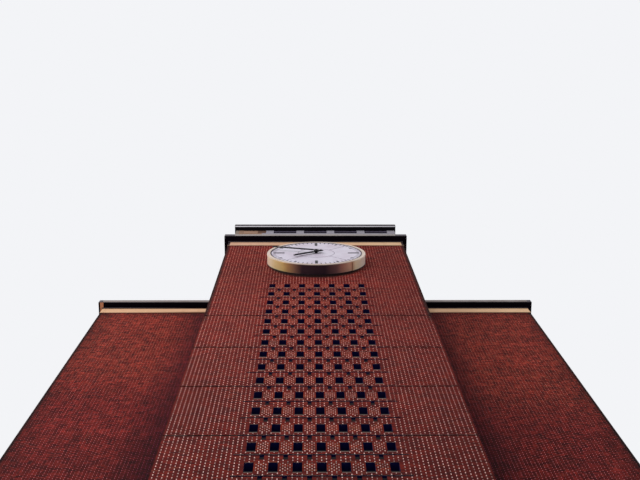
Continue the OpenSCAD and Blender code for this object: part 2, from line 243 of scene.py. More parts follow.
class Brickwork(Graph):
    """Brickwork that keeps to the courses. wall is bay, wing or side, which serves for returns too."""

    def __init__(self, name, wall):
        super().__init__(name, roughness=0.88, specular=0.12)
        self.wall = wall
        inside = self.scale(self.vector(*self.normal), -PROUD)
        point = self.add("VectorMath", {0: self.place, 1: inside}, operation="ADD")
        self.x, self.y, self.z = self.parts(point)
        self.across = self.size(self.x)
        # A height that slants across the walls, for the edge of a painted shadow
        self.slanted = self.plus(self.z, self.times(self.x, 0.15))
        self.along_y = self.more(self.size(self.normal[0]), 0.5)
        along_x = self.minus(1.0, self.along_y)
        self.along = self.plus(self.times(self.x, along_x), self.times(self.y, self.along_y))
        self.height = self.math("DIVIDE", self.z, COURSE)
        self.row = self.math("FLOOR", self.height)
        bond = self.times(self.modulo(self.row, 2.0), 0.5)
        self.run = self.plus(self.math("DIVIDE", self.along, BRICK), bond)
        brick = self.math("FLOOR", self.run)
        self.chances = self.parts(self.random(brick, self.row, self.times(self.along_y, 7.0), "Color"))
        self.grain = self.noise(210.0, 4.0)

    def courses(self, lowest, count, pitch=ROW_PITCH, top=TOP_ROW):
        """1 on so many courses from the lowest, counted from each row of holes or each storey."""
        return self.less(self.modulo(self.minus(self.row, top + lowest), pitch), count - 0.5)

    def between_holes(self):
        lowest, count = HOLE
        beside = self.times(self.courses(lowest, count), self.less(self.across, COLUMNS_X))
        beside = self.times(beside, self.more(self.row, BOTTOM_ROW + lowest - 0.5))
        return self.times(beside, self.less(self.row, TOP_ROW + lowest + count - 0.5))

    def clay(self, shades, panel):
        """The bricks' colour, from the four shades, dark to light. panel warms those between the holes."""
        one, two, three = self.chances
        body = self.ramp(one, list(zip((0.0, 0.3, 0.7, 1.0), shades)))
        body = self.mix(self.times(self.spread(two, 0.95, 0.97), 0.55), body, srgb(62, 24, 26))
        body = self.mix(self.times(self.spread(three, 0.96, 0.98), 0.45), body, srgb(124, 62, 44))
        patches = self.spread(self.noise(0.55, 4.0, (1, 1, 0.6)), 0.35, 0.65, 0.88, 1.12)
        bands = self.spread(self.noise(1.0, 2.0, (0.02, 0.02, 1.6)), 0.36, 0.64, 0.9, 1.1)
        body = self.scale(body, self.times(patches, bands))
        body = self.scale(body, self.spread(self.grain, 0.3, 0.7, 0.86, 1.14))
        if panel:
            body = self.mix(self.between_holes(), body, self.tint(body, (1.35, 1.75, 1.2)))
        if self.wall == "bay":
            tone = self.times(self.spread(self.z, *BAY_LOW), self.spread(self.z, *BAY_HIGH))
            return self.scale(body, tone)
        return self.height_shade_and_specks(body)

    def height_shade_and_specks(self, body):
        """The wings' clay: painted shadow below a slant, darker low down, a tone for each course and small
        specks.
        """
        body = self.scale(body, self.spread(self.slanted, *WING_SHADOW_EDGE))
        body = self.scale(body, self.spread(self.z, *WING_LOW))
        by_course = self.add("TexWhiteNoise", {"W": self.row}, noise_dimensions="1D")
        body = self.scale(body, self.spread(by_course, 0.0, 1.0, 0.92, 1.08))
        speck_width, speck_height = 0.034, 0.15
        column = self.math("FLOOR", self.math("DIVIDE", self.along, speck_width))
        level = self.math("FLOOR", self.math("DIVIDE", self.z, speck_height))
        return self.scale(body, self.spread(self.random(column, level, 5.0), 0.0, 1.0, 0.62, 1.38))

    def mortar(self, lower, upper, panel):
        """The mortar's colour, from lower down to the top, with some joints darker than others."""
        mortar = self.mix(self.spread(self.z, 12.0, 21.0), lower, upper)
        mortar = self.mix(self.spread(self.z, 6.5, 11.0), self.scale(upper, 0.9), mortar)
        joint = self.math("ROUND", self.math("DIVIDE", self.along, BRICK / 4))
        mortar = self.scale(mortar, self.spread(self.random(joint, self.row, 3.0), 0.0, 0.55, 0.22, 1.0))
        if panel:
            mortar = self.mix(self.between_holes(), mortar, self.scale(mortar, 0.74))
        return mortar

    def joints(self, upright):
        """1 on the bed joints and, where upright is a width, on the upright ones."""
        def near_edge(value, width):
            return self.more(self.size(self.minus(self.math("FRACT", value), 0.5)), 0.5 - width / 2)
        bed = near_edge(self.height, JOINT / COURSE)
        return self.most(bed, near_edge(self.run, upright / BRICK)) if upright else bed

    def outer_face(self, axis, low, high):
        """1 on the wall's outer faces, which lie below low and above high along the axis."""
        place = (self.at_x, self.at_y)[axis]
        outer = self.most(self.less(place, low), self.more(place, high))
        return self.times(outer, self.more(self.size(self.normal[axis]), 0.5))

    def shade_bay(self, colour):
        """Dark arrises, painted light that dims and cools to the right, and the drum's painted shadow below
        it.
        """
        wear_and_shade = self.spread(self.across, HALF_W - 0.07, HALF_W - 0.03, 1.0, 0.2)
        wear_and_shade = self.most(wear_and_shade, self.along_y, self.spread(self.z, 17.2, 17.9, 1.0, 0.0))
        # Painted light, dimmer and cooler to the right
        light_across = self.mix(self.spread(self.x, -HALF_W, HALF_W), (1.11, 1.11, 1.11), (0.9, 0.84, 0.86))
        colour = self.scale(self.tint(colour, light_across), wear_and_shade)
        # Painted shadow of the clock's drum, on the wall below it
        below = self.minus(self.z, CLOCK_Z - 0.27)
        ring = self.math("SQRT", self.plus(self.times(self.x, self.x), self.times(below, below)))
        shade = self.spread(ring, DRUM_R - 0.11, DRUM_R - 0.01, 0.06, 1.0)
        return self.mix(self.less(self.y, FRONT_Y + 0.1), colour, self.scale(colour, shade))

    def shade_wing(self, colour):
        """Painted shade: purple below a slant, at outer edges, under the cornice and beside the bay."""
        # Purple and darker below a slanting edge, as painted shade
        tint = (0.94, 0.66, 0.84) if self.wall == "wing" else (0.95, 0.82, 0.88)
        tint = self.mix(self.spread(self.z, 9.0, 14.4), (0.95, 0.86, 0.86), tint)
        colour = self.mix(self.spread(self.slanted, 17.0, 18.9), self.tint(colour, tint), colour)
        if self.wall == "side":
            return self.scale(colour, self.spread(self.z, *SHADE_UNDER_CORNICE))
        # Painted shade at the outer edges and under the cornice
        wear_and_shade = self.spread(self.across, WING_X - 0.07, WING_X - 0.03, 1.0, 0.2)
        wear_and_shade = self.times(wear_and_shade, self.spread(self.across, WING_X - 0.4, WING_X - 0.05, 1.0, 0.66))
        wear_and_shade = self.times(self.most(wear_and_shade, self.along_y), self.spread(self.z, *SHADE_UNDER_CORNICE))
        colour = self.scale(colour, wear_and_shade)
        # Painted shade in the corner beside the bay
        corner_shade = self.plus(self.minus(self.across, HALF_W), self.times(self.noise(1.1, 2.0), 0.3))
        corner_shade = self.spread(self.plus(corner_shade, self.spread(self.z, 14.5, 22.0, -0.08, 0.05)), 0.68, 1.35)
        return self.mix(corner_shade, self.tint(colour, (0.36, 0.19, 0.46)), colour)

    def shaded_under(self, colour):
        """Painted shade on the undersides of the courses over a hole, a set-back course or a storey's course.
        """
        over = self.times(self.courses(SET_BACK_ROW + 1, 1), self.less(self.across, PANEL_X))
        head = self.times(self.courses(sum(HOLE), 1), self.less(self.across, COLUMNS_X))
        rising = self.spread(self.z, 12.0, 18.0, 0.5, 1.0)
        by_brick = self.spread(self.chances[0], 0.0, 0.6, 0.55, 1.0)
        full = self.times(self.courses(1, 1, STOREY_PITCH, TOP_STOREY), rising, by_brick)
        looks_down = self.less(self.normal[2], -0.5)
        return self.mix(self.times(looks_down, self.most(over, full, head)), colour, UNDERSIDE_SHADE)

    def shade_holes(self, colour, depth):
        """Painted shade in the holes, from that depth on, and on dark courses under the holes and recesses.

        The photo shows the holes one course taller and the recesses two, and these courses stand for that.
        """
        deep = self.less(self.size(self.minus(self.at_y, MIDDLE_Y)), (BACK_Y - FRONT_Y) / 2 - depth)
        aside = self.less(self.size(self.normal[1]), 0.5)
        colour = self.mix(self.times(deep, aside), colour, HOLE_SHADE)
        # Painted shade on the courses under the holes and recesses
        dark = ((DARK_UNDER_HOLE, COL_PITCH / 2, BRICK), (DARK_UNDER_NOTCH, 0.0, NOTCH_W))
        for (lowest, count), offset, width in dark:
            spot = self.times(self.courses(lowest, count), self.less(self.across, COLUMNS_X))
            spot = self.times(spot, self.more(self.row, BOTTOM_ROW + DARK_UNDER_HOLE[0] - 0.5))
            column = self.modulo(self.plus(self.x, offset), COL_PITCH)
            column = self.size(self.minus(column, COL_PITCH / 2))
            spot = self.times(spot, self.less(self.row, TOP_ROW), self.less(column, width / 2 + 0.001))
            colour = self.mix(spot, colour, srgb(7, 4, 10))
        return colour


def brick_material(name, wall, colours, panel=False, upright=UPRIGHT, outer=None, hole_shade_depth=None):
    """Bricks and mortar. outer is (axis, low, high) of a wall's faces behind bricks, where mortar shows.

    upright is the width of the upright joints, or 0 where the mesh has them. hole_shade_depth is the
    depth in the wall at which painted shade in the holes begins.
    """
    shades, mortars = colours
    graph = Brickwork(name, wall)
    joint = graph.joints(upright)
    if outer:
        joint = graph.most(joint, graph.outer_face(*outer))
    colour = graph.mix(joint, graph.clay(shades, panel), graph.mortar(*mortars, panel))
    colour = graph.shade_bay(colour) if wall == "bay" else graph.shade_wing(colour)
    if outer:
        # Painted shade on the faces that look down
        colour = graph.mix(graph.less(graph.normal[2], -0.5), colour, UNDERSIDE_SHADE)
    else:
        colour = graph.shaded_under(colour)
    # Painted shade in the holes
    if hole_shade_depth:
        colour = graph.shade_holes(colour, hole_shade_depth)
    height = graph.minus(graph.times(graph.grain, 0.5), joint)
    return graph.finish(colour, graph.spread(graph.grain, 0.3, 0.7, 0.84, 0.95), height, 0.0015)


class Plaster(Graph):
    """Smooth render or concrete with faint stains and runs."""

    def __init__(self, name, body, stain_and_shade, rough=0.85, speck=0.06, streaks=1.0, shine=0.25):
        super().__init__(name, roughness=rough, specular=shine)
        self.dullness = rough
        self.speck = speck
        self.cloud = self.spread(self.noise(1.3, 5.0), 0.4, 0.68)
        run = self.spread(self.noise(1.0, 4.0, (5.5, 5.5, 0.35)), 0.5, 0.78, 0.0, 0.55 * streaks)
        self.colour = self.mix(self.most(self.times(self.cloud, 0.45), run), body, stain_and_shade)

    def soffit(self, under, sunned=None):
        """Faces that look down, in painted shade, with a painted sunlit strip that ends at the place sunned.
        """
        if sunned is not None:
            strip = self.times(self.less(self.at_x, sunned), self.more(self.at_x, sunned - 0.075))
            under = self.mix(strip, under, srgb(206, 140, 104))
        self.colour = self.mix(self.less(self.normal[2], -0.5), self.colour, under)

    def felt(self, top):
        """Roofing felt with laps, on the faces that look up."""
        lap = self.less(self.modulo(self.plus(self.at_x, 0.35), 0.9), 0.02)
        felt = self.mix(self.cloud, top, self.scale(top, 1.35))
        felt = self.scale(felt, self.minus(1.0, self.times(lap, 0.45)))
        self.colour = self.mix(self.more(self.normal[2], 0.5), self.colour, felt)

    def stain_and_shade(self, low, high, shade):
        """Another colour between two places along the front, which can be painted shade."""
        inside = self.spread(self.at_x, low - 0.01, low)
        inside = self.times(inside, self.spread(self.at_x, high, high + 0.03, 1.0, 0.0))
        front = self.less(self.at_y, FRONT_Y + 0.3)
        self.colour = self.mix(self.times(inside, front), self.colour, shade)

    def done(self):
        grain = self.noise(160.0, 5.0)
        colour = self.scale(self.colour, self.spread(grain, 0.3, 0.7, 1 - self.speck, 1 + self.speck))
        smooth, dull = self.dullness - 0.08, min(self.dullness + 0.06, 1.0)
        rough = self.spread(self.noise(9.0), 0.35, 0.65, smooth, dull)
        return self.finish(colour, rough, grain, 0.0012, 0.35)


def metal(name, body, wear_and_shade, rough=0.5, metallic=0.0, stretch=(1, 1, 1), fine=0.05, shine=0.4, foot=None):
    """Sheet or painted metal with a fine rolled grain and dull patches, black below the height foot."""
    graph = Graph(name, roughness=rough, specular=shine, metallic=metallic)
    patch = graph.spread(graph.noise(2.2, 5.0), 0.42, 0.68)
    rolled = graph.noise(40.0, 3.0, stretch)
    colour = graph.mix(graph.times(patch, 0.6), body, wear_and_shade)
    if foot is not None:
        colour = graph.mix(graph.less(graph.at_z, foot), colour, srgb(26, 20, 26))
    colour = graph.scale(colour, graph.spread(rolled, 0.3, 0.7, 1 - fine, 1 + fine))
    dull = graph.spread(patch, 0, 1, rough - 0.05, rough + 0.12)
    dull = graph.plus(dull, graph.spread(rolled, 0.3, 0.7, -0.03, 0.03))
    return graph.finish(colour, dull, rolled, 0.0006, 0.3)


def drum_gold():
    """Gold-coloured metal: painted reflections and shade, dark at its foot. Cream, olive gold, near black,
    copper.
    """
    graph = Graph("drum_gold", roughness=0.42, specular=0.35, metallic=0.25)
    turn = graph.math("ARCTAN2", graph.at_x, graph.minus(CLOCK_Z, graph.at_z))
    uneven = graph.times(graph.minus(graph.noise(3.0), 0.5), 0.12)
    where = graph.spread(graph.plus(turn, uneven), -math.pi / 2, math.pi / 2)
    colour = graph.ramp(where, [
        (0.0, srgb(246, 216, 200)), (0.13, srgb(248, 226, 190)), (0.20, srgb(238, 209, 150)),
        (0.27, srgb(227, 189, 121)), (0.31, srgb(194, 146, 96)), (0.36, srgb(144, 104, 86)),
        (0.405, srgb(66, 44, 52)), (0.56, srgb(50, 30, 42)), (0.63, srgb(118, 80, 80)),
        (0.675, srgb(180, 124, 110)), (0.735, srgb(222, 174, 148)), (0.752, srgb(212, 158, 124)),
        (0.785, srgb(246, 224, 188)), (0.88, srgb(248, 232, 214)), (1.0, srgb(248, 230, 220))])
    brushed = graph.noise(26.0, 3.0, (0.5, 8, 0.5))
    colour = graph.scale(colour, graph.spread(brushed, 0.3, 0.7, 0.93, 1.07))
    rough = graph.spread(graph.noise(4.0), 0.35, 0.65, 0.34, 0.5)
    return graph.finish(colour, rough, brushed, 0.0006, 0.3)


def cream_render():
    """The frieze: darker where the bay ends, and tones that differ from end to end."""
    coat = Plaster("frieze_render", srgb(220, 180, 144), srgb(193, 149, 112), 0.8, 0.04)
    dark_from, dark_to = HALF_W - 0.032, HALF_W + 0.02
    across = coat.size(coat.at_x)
    dark_ends = coat.times(coat.spread(across, dark_from - 0.004, dark_from), coat.less(across, dark_to))
    dark_ends = coat.times(dark_ends, coat.more(coat.size(coat.normal[1]), 0.5))
    coat.colour = coat.mix(dark_ends, coat.colour, srgb(40, 24, 26))
    tones = (
        (-WING_X, (0.82, 0.77, 0.74)), (-HALF_W - 0.02, (0.84, 0.79, 0.77)),
        (-HALF_W, (0.72, 0.66, 0.72)), (-0.9, (0.74, 0.70, 0.74)), (0.9, (0.88, 0.87, 0.87)),
        (HALF_W, (0.83, 0.84, 0.82)), (HALF_W + 0.02, (1.0, 1.0, 1.0)), (WING_X, (0.97, 1.0, 0.98)))
    stops = [((place / WING_X + 1) / 2, factors) for place, factors in tones]
    coat.colour = coat.tint(coat.colour, coat.ramp(coat.spread(coat.at_x, -WING_X, WING_X), stops))
    return coat.done()


def slab_coat(name, sunned=None):
    coat = Plaster(name, srgb(58, 50, 56), srgb(84, 74, 74), 0.8, 0.12, 0.8, shine=0.04)
    # Undersides dark as painted shade, and on the left wing a painted sunlit strip
    coat.soffit(srgb(9, 4, 13), sunned)
    coat.felt(srgb(74, 72, 74))
    return coat.done()


def lantern_render():
    coat = Plaster("lantern_render", srgb(140, 136, 146), srgb(116, 111, 117), 0.82, 0.05)
    coat.stain_and_shade(-1.90, -1.80, srgb(117, 104, 94))
    coat.stain_and_shade(-1.80, -1.275, srgb(124, 96, 78))
    return coat.done()


def lantern_lid():
    coat = Plaster("lantern_roof_render", srgb(196, 193, 199), srgb(168, 164, 172), 0.8, 0.05, shine=0.06)
    # Underside dark as painted shade
    coat.soffit(srgb(10, 6, 14))
    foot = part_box("lantern_roof")[0].z + 0.02
    coat.colour = coat.mix(coat.less(coat.at_z, foot), coat.colour, srgb(14, 10, 16))
    return coat.done()


def lantern_cap():
    coat = Plaster("lantern_cap_coat", srgb(84, 78, 94), srgb(70, 62, 76), 0.75, 0.06, shine=0.06)
    # Underside dark as painted shade
    coat.soffit(srgb(10, 6, 14))
    coat.felt(srgb(96, 94, 104))
    return coat.done()


def infill_render():
    coat = Plaster("infill_render", srgb(138, 107, 88), srgb(116, 88, 68), 0.85, 0.06)
    # Painted shade towards the infill's right end
    coat.stain_and_shade(-1.36, -1.0, srgb(84, 58, 44))
    return coat.done()


def sill_render():
    coat = Plaster("sill_stone", srgb(186, 158, 148), srgb(150, 120, 112), 0.85, 0.1)
    coat.colour = coat.scale(coat.colour, coat.spread(coat.at_z, 11.0, 17.5, 0.3, 1.1))
    return coat.done()


# Shades of brick from dark to light, and of mortar from lower down to the top
BAY = ((srgb(76, 15, 12), srgb(92, 20, 16), srgb(104, 26, 19), srgb(120, 34, 24)),
       (srgb(255, 226, 218), srgb(242, 168, 150)))
WING = ((srgb(72, 16, 15), srgb(98, 28, 22), srgb(112, 36, 27), srgb(130, 47, 35)),
        (srgb(250, 180, 172), srgb(226, 150, 132)))
# Dark tones of painted shade, for the set-back courses and the course under the frieze
SHADED_COURSES = ((srgb(34, 10, 12), srgb(40, 13, 14), srgb(46, 16, 16), srgb(54, 20, 18)),
        (srgb(66, 34, 32), srgb(52, 26, 26)))

# The walls' outer faces: the axis across the wall, and the places beyond which they lie
SKIN = 0.02
BAY_FACES = (1, FRONT_Y + SKIN, BACK_Y - SKIN)
RETURN_FACES = (0, -HALF_W + SKIN, HALF_W - SKIN)
WING_FACES = (1, WING_Y + SKIN, WING_BACK_Y - SKIN)
SIDE_FACES = (0, -WING_X + SKIN, WING_X - SKIN)

brick_bay = brick_material("brick_bay", "bay", BAY, panel=True, upright=0)
brick_wing = brick_material("brick_wing", "wing", WING, upright=0)
wall_bay = brick_material("wall_bay", "bay", BAY, panel=True, outer=BAY_FACES)
wall_grille = brick_material("wall_grille", "bay", BAY, panel=True, outer=BAY_FACES, hole_shade_depth=0.003)
wall_return = brick_material("wall_return", "side", BAY, outer=RETURN_FACES)
wall_wing = brick_material("wall_wing", "wing", WING, outer=WING_FACES)
wall_wing_side = brick_material("wall_wing_side", "side", WING, outer=SIDE_FACES)
brick_in_shade = brick_material("brick_in_shade", "side", SHADED_COURSES)
brick_return = brick_material("brick_return", "side", BAY)
brick_side = brick_material("brick_side", "side", WING, upright=UPRIGHT_WING)

cream = cream_render()
slab = slab_coat("roof_slab_coat")
slab_left = slab_coat("roof_slab_left", sunned=-WING_X + 0.004)
pale_grey = lantern_render()
lid_render = lantern_lid()
cap_coat = lantern_cap()
sill_stone = sill_render()
tan = infill_render()

# Sheet metal is rolled along the edges it covers, and its paler sorts are black at their foot
ROLLED = (1, 1, 4)
METAL_FOOT = WALL_TOP + 0.032
rail_paint = metal("rail_paint", srgb(92, 84, 106), srgb(76, 68, 90))
gold = drum_gold()
bezel_paint = metal("bezel_cream", srgb(196, 179, 166), srgb(180, 160, 146), 0.42)
enamel = metal("dial_enamel", srgb(189, 181, 196), srgb(176, 160, 174), 0.36, fine=0.015)
enamel_line = metal("dial_line", srgb(84, 62, 90), srgb(104, 76, 104), 0.45, shine=0.2)
black_paint = metal("black_paint", srgb(16, 12, 20), srgb(30, 25, 34), shine=0.2)
ring_paint = metal("ring_paint", srgb(30, 22, 46), srgb(44, 34, 60), shine=0.15)
flashing = metal("edge_flashing", srgb(110, 96, 91), srgb(94, 80, 76), 0.5, 0.35, ROLLED, foot=METAL_FOOT)
flashing_pale = metal("edge_flashing_pale", srgb(134, 123, 117), srgb(116, 110, 110), 0.5, 0.35, ROLLED,
                      foot=METAL_FOOT)
flashing_dark = metal("edge_flashing_dark", srgb(58, 48, 56), srgb(46, 38, 44), 0.55, 0.3, ROLLED)
seam_metal = metal("drum_seam", srgb(160, 112, 88), srgb(138, 96, 76), 0.5, 0.3)

ENDS = ("front", "back")
HANDS = ("left", "right")
COATS = (
    (wall_bay, [f"{end}_{part}" for end in ENDS for part in ("base", "pier_left", "pier_right", "head")]),
    (wall_grille, [f"{end}_grille" for end in ENDS]),
    (wall_return, [f"{end}_return_{hand}" for end in ENDS for hand in HANDS]),
    (wall_wing, [f"wing_{hand}_{end}" for end in ENDS for hand in HANDS]),
    (wall_wing_side, [f"wing_{hand}_side" for hand in HANDS]),
    (cream, ["front_frieze", "back_frieze", "wing_left_frieze", "wing_right_frieze"]),
    (slab, ["bay_roof", "wing_right_roof"]),
    (slab_left, ["wing_left_roof"]),
    (pale_grey, [f"lantern_{part}_{side}" for part in ("base", "posts") for side in ENDS + HANDS]),
    (rail_paint, ["lantern_rails"]),
    (tan, ["lantern_infill"]),
    (lid_render, ["lantern_roof"]),
    (cap_coat, ["lantern_cap"]),
    (gold, ["clock_drum"]),
    (bezel_paint, ["clock_bezel"]),
    (enamel, ["clock_dial"]),
    (black_paint, ["hour_marks", "hour_hand", "minute_hand"]),
)
for material, covered in COATS:
    for name in covered:
        mesh = nodes[name].data
        mesh.materials.clear()
        mesh.materials.append(material)
        for polygon in mesh.polygons:
            polygon.material_index = 0


# Meshes
def piece(name, mesh, material, body="tower"):
    mesh.materials.append(material)
    made = bpy.data.objects.new(name, mesh)
    bpy.context.scene.collection.objects.link(made)
    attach(made, body)
    return made


def from_quads(name, quads, material, maps=None, body="tower"):
    """One mesh from separate quads, an array of n x 4 x 3 places, with an optional n x 4 x 2 bake map."""
    quads = np.asarray(quads, np.float32)
    count = len(quads)
    mesh = bpy.data.meshes.new(name)
    mesh.vertices.add(count * 4)
    mesh.vertices.foreach_set("co", quads.reshape(-1))
    mesh.loops.add(count * 4)
    mesh.loops.foreach_set("vertex_index", np.arange(count * 4, dtype=np.int32))
    mesh.polygons.add(count)
    mesh.polygons.foreach_set("loop_start", np.arange(0, count * 4, 4, dtype=np.int32))
    if maps is not None:
        layer = mesh.uv_layers.new(name="OFBake")
        layer.data.foreach_set("uv", np.asarray(maps, np.float32).reshape(-1))
    mesh.update()
    return piece(name, mesh, material, body)


def weld(made):
    """Joins the corners that neighbouring quads share."""
    joined = made.modifiers.new("weld", "WELD")
    joined.merge_threshold = 0.00001
    return made


def boxes(name, spans, material, bevel):
    """Blocks joined in one mesh, each from its low corner to its high corner, with soft arrises."""
    quads = []
    for (x0, y0, z0), (x1, y1, z1) in spans:
        a, b, c, d = (x0, y0), (x1, y0), (x1, y1), (x0, y1)
        quads.append([(*a, z0), (*d, z0), (*c, z0), (*b, z0)])
        quads.append([(*a, z1), (*b, z1), (*c, z1), (*d, z1)])
        for p, q in ((a, b), (b, c), (c, d), (d, a)):
            quads.append([(*p, z0), (*q, z0), (*q, z1), (*p, z1)])
    made = weld(from_quads(name, quads, material))
    soft = made.modifiers.new("arris", "BEVEL")
    soft.width = bevel
    soft.segments = 2
    soft.limit_method = "ANGLE"


# Courses of bricks. A span is course, from, to, and where its back and its face lie, out of the wall
def uprights(course, low, high):
    """Places of one course's upright joints. The short stretches between holes are of half bricks."""
    length, clear = (BRICK / 2, 0.02) if high - low < 1.6 * BRICK else (BRICK, 0.022)
    shift = 0.5 * length if course % 2 else 0.0
    first = math.ceil((low + clear - shift) / length)
    last = math.floor((high - clear - shift) / length)
    return [k * length + shift for k in range(first, last + 1)]


def course_quads(spans, split, upright):
    """Quads of brick courses, in face coordinates: along, up, out. split opens the upright joints."""
    quads = []
    for course, low, high, back, face in spans:
        z0 = course * COURSE + JOINT / 2
        z1 = (course + 1) * COURSE - JOINT / 2
        quads.append([(low, z1, face), (high, z1, face), (high, z1, back), (low, z1, back)])
        quads.append([(low, z0, back), (high, z0, back), (high, z0, face), (low, z0, face)])
        edges = [low]
        for place in uprights(course, low, high) if split else ():
            edges += [place - upright / 2, place + upright / 2]
        edges.append(high)
        for a, b in zip(edges[::2], edges[1::2]):
            quads.append([(a, z0, face), (b, z0, face), (b, z1, face), (a, z1, face)])
            quads.append([(b, z0, face), (b, z0, back), (b, z1, back), (b, z1, face)])
            quads.append([(a, z0, back), (a, z0, face), (a, z1, face), (a, z1, back)])
    return np.array(quads)


# Each side of the plan, with the directions along its face and out of it
FACES = {
    "front": ((1, 0), (0, -1)), "back": ((-1, 0), (0, 1)),
    "right": ((0, 1), (1, 0)), "left": ((0, -1), (-1, 0)),
}

# The bake map stands a wall's height in so many columns, with a margin, and shows depth at a lean
MAP_COLUMNS = 3
MAP_MARGIN = 0.004
MAP_LEAN = 0.2


def bake_map(quads):
    """A place on the bake map for every corner of the quads, which are in face coordinates."""
    along, up, lean = quads[..., 0], quads[..., 1], quads[..., 2] * MAP_LEAN
    low, high = along.min(), along.max()
    tall = COURSES * COURSE / MAP_COLUMNS
    filled = 1 - 2 * MAP_MARGIN
    column = np.minimum(np.floor(quads[:, 0, 1] / tall), MAP_COLUMNS - 1)[:, None]
    across = (column + MAP_MARGIN + filled * (along - low + lean) / (high - low + 0.004)) / MAP_COLUMNS
    upward = MAP_MARGIN + filled * (up - column * tall + lean) / (tall + 0.02)
    return np.clip(np.stack([across, upward], -1), 0.0, 1.0)


def bricks(name, side, plane, spans, material, split=True, upright=UPRIGHT):
    """Courses of bricks on one wall. plane is the wall face's distance from the middle, outwards."""
    quads = course_quads(spans, split, upright)
    (rx, ry), (ox, oy) = FACES[side]
    along, up, out = quads[..., 0], quads[..., 1], quads[..., 2] + plane
    placed = np.stack([along * rx + out * ox, along * ry + out * oy, up], -1)
    return from_quads(name, placed, material, bake_map(quads))


def gaps(low, high, cuts):
    """What is left of low to high after the cuts, which are in order."""
    edges = [low, *(edge for cut in cuts for edge in cut), high]
    return list(zip(edges[::2], edges[1::2]))


def openings(count, width):
    """A row of holes or recesses about the middle, each as from and to."""
    middles = [(k - (count - 1) / 2) * COL_PITCH for k in range(count)]
    return [(middle - width / 2, middle + width / 2) for middle in middles]


# Where a course's back and face lie, out of the wall
STANDS_PROUD = (0.0, PROUD)
HELD_BACK = (-SET_BACK, PROUD - SET_BACK)


def bay_spans():
    """The proud and the set-back courses of the bay's face, round its holes and recesses."""
    reach = HALF_W + PROUD
    holes = openings(COLUMNS, BRICK)
    notches = openings(COLUMNS - 1, NOTCH_W)
    hole_courses = {row + k for row in HOLE_ROWS for k in range(DARK_UNDER_HOLE[0], sum(HOLE))}
    notch_courses = {row + k for row in HOLE_ROWS[:-1] for k in range(DARK_UNDER_NOTCH[0], sum(NOTCH))}
    back_courses = {row + SET_BACK_ROW for row in HOLE_ROWS}
    proud, held = [], []
    for course in range(COURSES):
        cuts = holes if course in hole_courses else notches if course in notch_courses else []
        if course in STOREY_COURSES:
            held += [(course, *gap, *HELD_BACK) for gap in gaps(-HALF_W, HALF_W, cuts)]
        elif course in back_courses:
            held += [(course, *gap, *HELD_BACK) for gap in gaps(-PANEL_X, PANEL_X, cuts)]
            proud += [(course, -reach, -PANEL_X, *STANDS_PROUD), (course, PANEL_X, reach, *STANDS_PROUD)]
        else:
            proud += [(course, *gap, *STANDS_PROUD) for gap in gaps(-reach, reach, cuts)]
    return proud, held


def full_spans(low, high):
    return [(course, low, high, *STANDS_PROUD) for course in range(COURSES)]


def return_spans(face, wing):
    """A return's courses from the bay's face to the wing, cut back at the face in storey courses."""
    inwards = SET_BACK if face < wing else -SET_BACK
    spans = []
    for course in range(COURSES):
        start = face + inwards if course in STOREY_COURSES else face
        spans.append((course, min(start, wing), max(start, wing), *STANDS_PROUD))
    return spans


proud_courses, held_courses = bay_spans()
bricks("bricks_bay_front", "front", -FRONT_Y, proud_courses, brick_bay)
bricks("bricks_bay_back", "back", BACK_Y, proud_courses, brick_bay)
bricks("bricks_bay_front_set_back", "front", -FRONT_Y, held_courses, brick_in_shade, split=False)
bricks("bricks_bay_back_set_back", "back", BACK_Y, held_courses, brick_in_shade, split=False)
to_right = full_spans(HALF_W + PROUD, WING_X + PROUD)
to_left = full_spans(-WING_X - PROUD, -HALF_W - PROUD)
for tag, side, plane, spans in (
        ("right_front", "front", -WING_Y, to_right), ("left_front", "front", -WING_Y, to_left),
        ("left_back", "back", WING_BACK_Y, to_right), ("right_back", "back", WING_BACK_Y, to_left)):
    bricks(f"bricks_wing_{tag}", side, plane, spans, brick_wing, upright=UPRIGHT_WING)
for side, low, high in (("right", WING_Y, WING_BACK_Y), ("left", -WING_BACK_Y, -WING_Y)):
    bricks(f"bricks_wing_{side}_side", side, WING_X, full_spans(low, high), brick_side, split=False)
for side, turn in (("right", 1), ("left", -1)):
    for end, face, wing in (("front", FRONT_Y, WING_Y), ("back", BACK_Y, WING_BACK_Y)):
        spans = return_spans(turn * face, turn * wing)
        bricks(f"bricks_{end}_return_{side}", side, HALF_W, spans, brick_return, split=False)


# Sills and the bands that run round the walls
def face_box(side, plane, u0, u1, z0, z1, d0, d1):
    """A block on a wall face, from its along, up and out distances."""
    (rx, ry), (ox, oy) = FACES[side]
    xs = (u0 * rx + (plane + d0) * ox, u1 * rx + (plane + d1) * ox)
    ys = (u0 * ry + (plane + d0) * oy, u1 * ry + (plane + d1) * oy)
    return (min(xs), min(ys), z0), (max(xs), max(ys), z1)


def hole_sills():
    """A thin sill at the foot of each hole, front and back."""
    inset, out = 0.004, 0.0055
    sills = []
    for row in HOLE_ROWS:
        foot = (row + DARK_UNDER_HOLE[0]) * COURSE
        heights = (foot - 0.012, foot - 0.002)
        for low, high in openings(COLUMNS, BRICK):
            for side, plane in (("front", -FRONT_Y), ("back", BACK_Y)):
                sills.append(face_box(side, plane, low + inset, high - inset, *heights, 0.0, out))
    boxes("hole_sills", sills, sill_stone, 0.0015)


